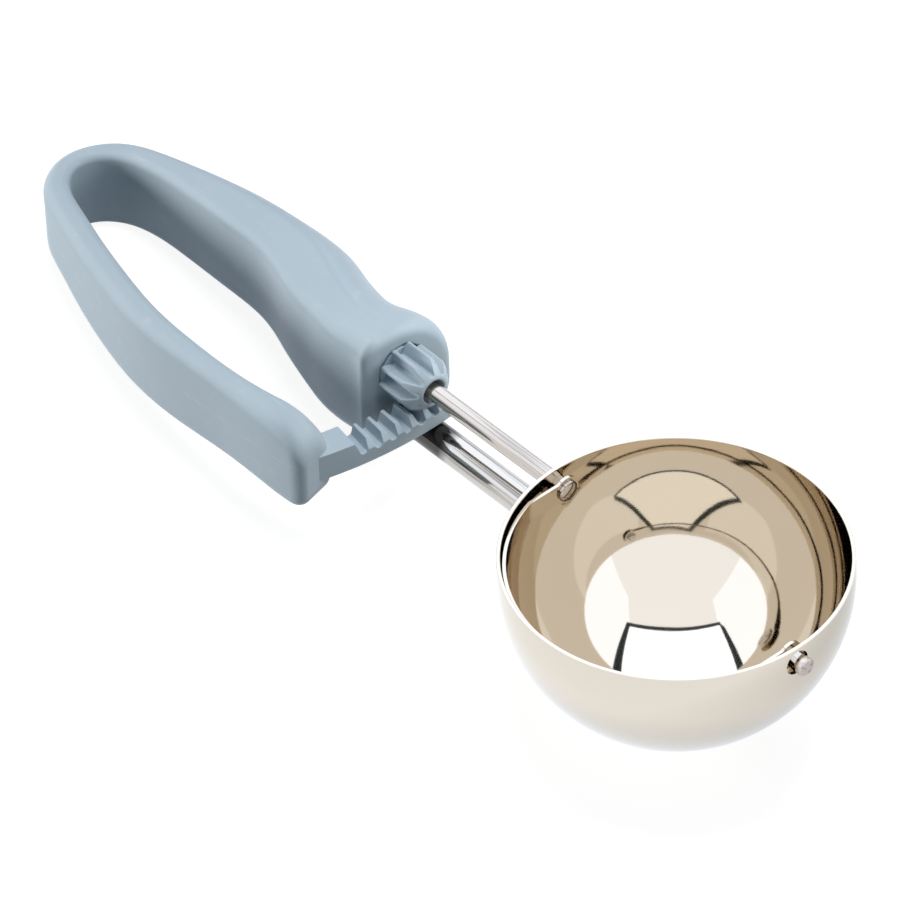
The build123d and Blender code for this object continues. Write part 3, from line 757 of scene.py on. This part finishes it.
def polished_steel(name, tone, rough, marks, stretch=(1, 1, 1), wave=0.0, streaks=0.0, painted_shade_end=None):
    """Polished steel: a warm mirror with faint marks left by the polishing, slightly wavy, or
    with thin dark streaks, a painted reflection of dark edges round it. Up to the first of the
    two places of its painted shade end, along the spindle's line in mm, its colour is painted
    shade, and it is clear from the second."""
    f = Finish(name)
    draw = f.noise(f.place(stretch), marks, 3.0, 0.6)
    spot = f.place()
    haze = f.noise(spot, 45.0, 3.0, 0.5)
    colour = f.blend(haze, tuple(c * 0.97 for c in tone[:3]) + (1.0,), tone)
    # thin dark streaks painted into the colour: a painted reflection of dark edges, not marks in the steel
    if streaks:
        colour = f.blend(f.mask(draw, 0.54, 0.64) * streaks, colour, PAINTED_STREAK_REFLECTION)
    # painted shade: the colour darkens towards the head's end, standing in for the shade and dark reflection
    # under the rack
    if painted_shade_end:
        start, end = painted_shade_end
        along = f.node("ShaderNodeSeparateXYZ", {}, [spot], "X") * 1000.0 + haze * 3.0
        colour = f.blend(((along - start) * (1 / (end - start))).clamped(), PAINTED_SHADE, colour)
    roughness = rough + draw * (rough * 0.5) + haze * 0.01
    bump = f.bump(draw, 0.02, 0.0001)
    if wave:
        bump = f.bump(f.noise(spot, 70.0, 1.0, 0.4), wave, 0.001, bump)
    return f.surface(Base_Color=colour, Metallic=1.0, Roughness=roughness, Normal=bump)


# ---------------------------------------------------------------- the tool

plastic = handle_plastic()
bowl_steel = polished_steel("bowl_steel", (0.66, 0.578, 0.465, 1), 0.035, 300.0, (6, 6, 0.4), wave=0.05)
rod_steel = polished_steel("rod_steel", (0.51, 0.445, 0.375, 1), 0.05, 900.0, (60, 1, 1), streaks=0.55)
# The tube's end by the head gets painted shade, for the shade and dark reflection under the rack.
tube_steel = polished_steel(
    "tube_steel", (0.52, 0.475, 0.41, 1), 0.05, 700.0, (60, 1, 1), streaks=0.55, painted_shade_end=(-69.5, -66.5)
)
braze_metal = polished_steel("braze_metal", srgb(190, 178, 158), 0.22, 1200.0)
blade_steel = polished_steel("blade_steel", (0.62, 0.54, 0.43, 1), 0.07, 1600.0, (1, 12, 1))

handle = loop_handle()
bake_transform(handle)
for piece, body, nodes, slot, finish in (
    (handle, None, ("grip", "lever_arm"), "handle_plastic", plastic),
    (toothed_rack(), "lever", ("rack",), "handle_plastic", plastic),
    (drive_pinion(), "spindle", ("pinion",), "handle_plastic", plastic),
    (steel_bowl(), "frame", ("bowl",), "bowl_steel", bowl_steel),
    (support_tube(), "frame", ("shank_tube",), "tube_steel", tube_steel),
    (braze_collar(), "frame", ("tube_braze",), "tube_steel", braze_metal),
    (long_spindle(), "spindle", ("spindle",), "rod_steel", rod_steel),
    (front_pin(), "spindle", ("pivot_pin",), "rod_steel", rod_steel),
    (scraper_blade(), "spindle", ("wiper_blade",), "blade_steel", blade_steel),
):
    if body:
        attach(piece, body)
    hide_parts(*nodes)
    piece.data.materials.append(finish)

# ---------------------------------------------------------------- floor, light and camera


FLOOR_HALF, FLOOR_DROP = 3.0, 0.0002
# Polished metal sees the floor dimmed round this place, from one distance to another, in metres: a painted
# shadow round the bowl, seen only in the metal.
DIM_PLACE, DIM_SHARE, DIM_START, DIM_END = (0.115, 0.05, 0), 0.6714, 0.02, 0.10


def stage_sheet(name, corners, finish):
    """A flat sheet given by its corners in metres."""
    mesh = bpy.data.meshes.new(name)
    mesh.from_pydata([tuple(c) for c in corners], [], [tuple(range(len(corners)))])
    mesh.materials.append(finish)
    sheet = bpy.data.objects.new(name, mesh)
    bpy.context.scene.collection.objects.link(sheet)
    return sheet


def white_paper():
    """White paper: it keeps a soft shadow, shows white to the eye, and shows a cool white to
    polished metal, dimmer near the bowl, a painted shadow that only the metal sees."""
    f = Finish("white_paper")
    seen = f.node("ShaderNodeLightPath", {}, {}, "Is Camera Ray")
    mirrored = f.node("ShaderNodeLightPath", {}, {}, "Is Glossy Ray")
    spot = f.node("ShaderNodeTexCoord", {}, {}, "Object")
    # painted shadow: polished metal sees the floor darker near the bowl
    away = f.node("ShaderNodeVectorMath", {"operation": "DISTANCE"}, [spot, DIM_PLACE], "Value")
    clear = ((away - DIM_START) * (1 / (DIM_END - DIM_START))).clamped()
    near_dim = clear * (1 - DIM_SHARE) + DIM_SHARE
    paper = f.node("ShaderNodeBsdfDiffuse", {}, {"Color": (0.22, 0.22, 0.22, 1)})
    for colour, strength in (((1, 1, 1, 1), seen * 0.90), ((1.00, 1.08, 1.21, 1), mirrored * near_dim)):
        glow = f.node("ShaderNodeEmission", {}, {"Color": colour, "Strength": strength})
        paper = f.node("ShaderNodeAddShader", {}, [paper, glow])
    f.node("ShaderNodeOutputMaterial", {}, [paper])
    return f.material


def card_finish(name, colour, strength):
    """A studio card: plain light of one colour."""
    f = Finish(name)
    glow = f.node("ShaderNodeEmission", {}, {"Color": colour, "Strength": strength})
    f.node("ShaderNodeOutputMaterial", {}, [glow])
    return f.material


def card(name, corners, finish):
    """A card seen by polished metal only, given by its corners in metres."""
    sheet = stage_sheet(name, corners, finish)
    sheet.visible_camera = sheet.visible_diffuse = False
    sheet.visible_shadow = sheet.visible_transmission = False


square = ((-1, -1), (1, -1), (1, 1), (-1, 1))
stage_sheet("floor", [(FLOOR_HALF * x, FLOOR_HALF * y, -FLOOR_DROP) for x, y in square], white_paper())

# A light panel over the far side of the table, wider towards the zenith, and a dark frame
# behind it. The panel's corners are in metres on its own two directions.
PANEL_U, PANEL_V = np.array([0.661, 0.751, 0.0]), np.array([0.525, -0.474, 0.707])
PANEL_MIDDLE, BEHIND = np.array([-0.38, 0.20, 0.97]), 0.01 * np.cross(PANEL_V, PANEL_U)
PANEL_CORNERS = np.array([(-0.40, -1.0), (0.46, -1.0), (0.76, 0.67), (-0.76, 0.67)])
FRAME_WIDTH = 0.11
PANEL_LIGHT, PANEL_STRENGTH, FRAME_DARK = (0.86, 0.96, 1.15, 1), 2.05, (0.030, 0.042, 0.050, 1)
framed = PANEL_CORNERS + np.copysign(FRAME_WIDTH, PANEL_CORNERS)
directions = np.array([PANEL_U, PANEL_V])
card("panel", PANEL_MIDDLE + PANEL_CORNERS @ directions, card_finish("panel", PANEL_LIGHT, PANEL_STRENGTH))
card("panel_frame", PANEL_MIDDLE + BEHIND + framed @ directions, card_finish("panel_frame", FRAME_DARK, 1.0))

# The two lit walls of the tent beside it, by azimuths and elevations in degrees from the bowl.
TENT_DISTANCE, TENT_LIGHT, TENT_STRENGTH = 1.9, (0.88, 0.97, 1.15, 1), 1.78
TENT_WALLS = {
    "right_wall": ((3, 14), (12, 57), (47, 67), (100, 47), (105, 14)),
    "left_wall": ((-93, 14), (-99, 54), (-130, 58), (-177, 40), (-179, 14)),
}
for name, corners in TENT_WALLS.items():
    around, up = np.radians(np.array(corners, float)).T
    towards = np.stack([np.cos(around) * np.cos(up), np.sin(around) * np.cos(up), np.sin(up)], -1)
    place = BOWL_CENTRE * 0.001 + TENT_DISTANCE * towards
    card(name, place, card_finish(name, TENT_LIGHT, TENT_STRENGTH))


def studio_world():
    """Plain light all round: faint and cool on the piece, bright in polished metal, and white to
    the eye."""
    world = bpy.data.worlds.new("studio")
    world.use_nodes = True
    tree = world.node_tree
    tree.nodes.clear()
    path = tree.nodes.new("ShaderNodeLightPath")
    last = None
    for ray, colour, strength in (
        (None, (0.50, 0.95, 1.25, 1), 0.08),
        ("Is Glossy Ray", (0.93, 0.995, 1.13, 1), 1.45),
        ("Is Camera Ray", (1, 1, 1, 1), 1.0),
    ):
        sky = tree.nodes.new("ShaderNodeBackground")
        sky.inputs["Color"].default_value = colour
        sky.inputs["Strength"].default_value = strength
        if ray:
            either = tree.nodes.new("ShaderNodeMixShader")
            tree.links.new(path.outputs[ray], either.inputs[0])
            tree.links.new(last.outputs[0], either.inputs[1])
            tree.links.new(sky.outputs[0], either.inputs[2])
            last = either
        else:
            last = sky
    ground = tree.nodes.new("ShaderNodeOutputWorld")
    tree.links.new(last.outputs[0], ground.inputs[0])
    return world


def softbox(name, place, aim, size, watts, colour):
    """A square soft lamp that points at a place and isn't mirrored in polished metal."""
    lamp = bpy.data.lights.new(name, "AREA")
    lamp.shape, lamp.size, lamp.energy, lamp.color = "SQUARE", size, watts, colour
    holder = bpy.data.objects.new(name, lamp)
    bpy.context.scene.collection.objects.link(holder)
    holder.location = place
    holder.rotation_euler = (Vector(aim) - Vector(place)).to_track_quat("-Z", "Y").to_euler()
    holder.visible_glossy = False


bpy.context.scene.world = studio_world()
softbox("overhead", (-0.12, 0.14, 1.15), (0, 0, 0.02), 0.5, 10.0, (1.0, 0.97, 0.94))
softbox("left_fill", (-0.95, -1.15, 0.22), (-0.03, 0, 0.02), 0.5, 20.0, (1.0, 0.95, 0.90))
softbox("front_fill", (1.0, -0.75, 0.25), (0, 0, 0.02), 0.5, 1.6, (1.0, 0.97, 0.93))
# It stands in for the light that the bowl throws back on the head and the rods.
softbox("bowl_glow", (0.045, 0.075, 0.085), (-0.01, 0.004, 0.04), 0.05, 0.085, (1.0, 0.98, 0.94))

# The camera's place round the rim's middle, in degrees and mm on the tool's axes, its roll, and
# how far it is shifted right and up so that the scoop sits off the picture's middle.
AZIMUTH, ELEVATION, ROLL = (math.radians(a) for a in (50.008, 41.846, -1.713))
DISTANCE, SHIFT_RIGHT, SHIFT_UP = 1209.111, -45.52, 21.15
back = np.array([
    math.sin(AZIMUTH) * math.cos(ELEVATION), -math.cos(AZIMUTH) * math.cos(ELEVATION), math.sin(ELEVATION)
])
level = np.array([math.cos(AZIMUTH), math.sin(AZIMUTH), 0])
rise = np.cross(back, level)
right = level * math.cos(ROLL) + rise * math.sin(ROLL)
upright = -level * math.sin(ROLL) + rise * math.cos(ROLL)
stand = np.array([0, 0, RIM]) + DISTANCE * back + SHIFT_RIGHT * right + SHIFT_UP * upright
camera = bpy.data.objects.new("camera", bpy.data.cameras.new("camera"))
bpy.context.scene.collection.objects.link(camera)
camera.data.sensor_width, camera.data.lens = 36, 240
camera.data.clip_start, camera.data.clip_end = 0.05, 20
turn = Matrix((np.array([right, upright, back]) @ AXES).T.tolist())
camera.matrix_world = Matrix.Translation(Vector(laid(stand))) @ turn.to_4x4()
bpy.context.scene.camera = camera
bpy.context.scene.view_settings.view_transform = "Standard"
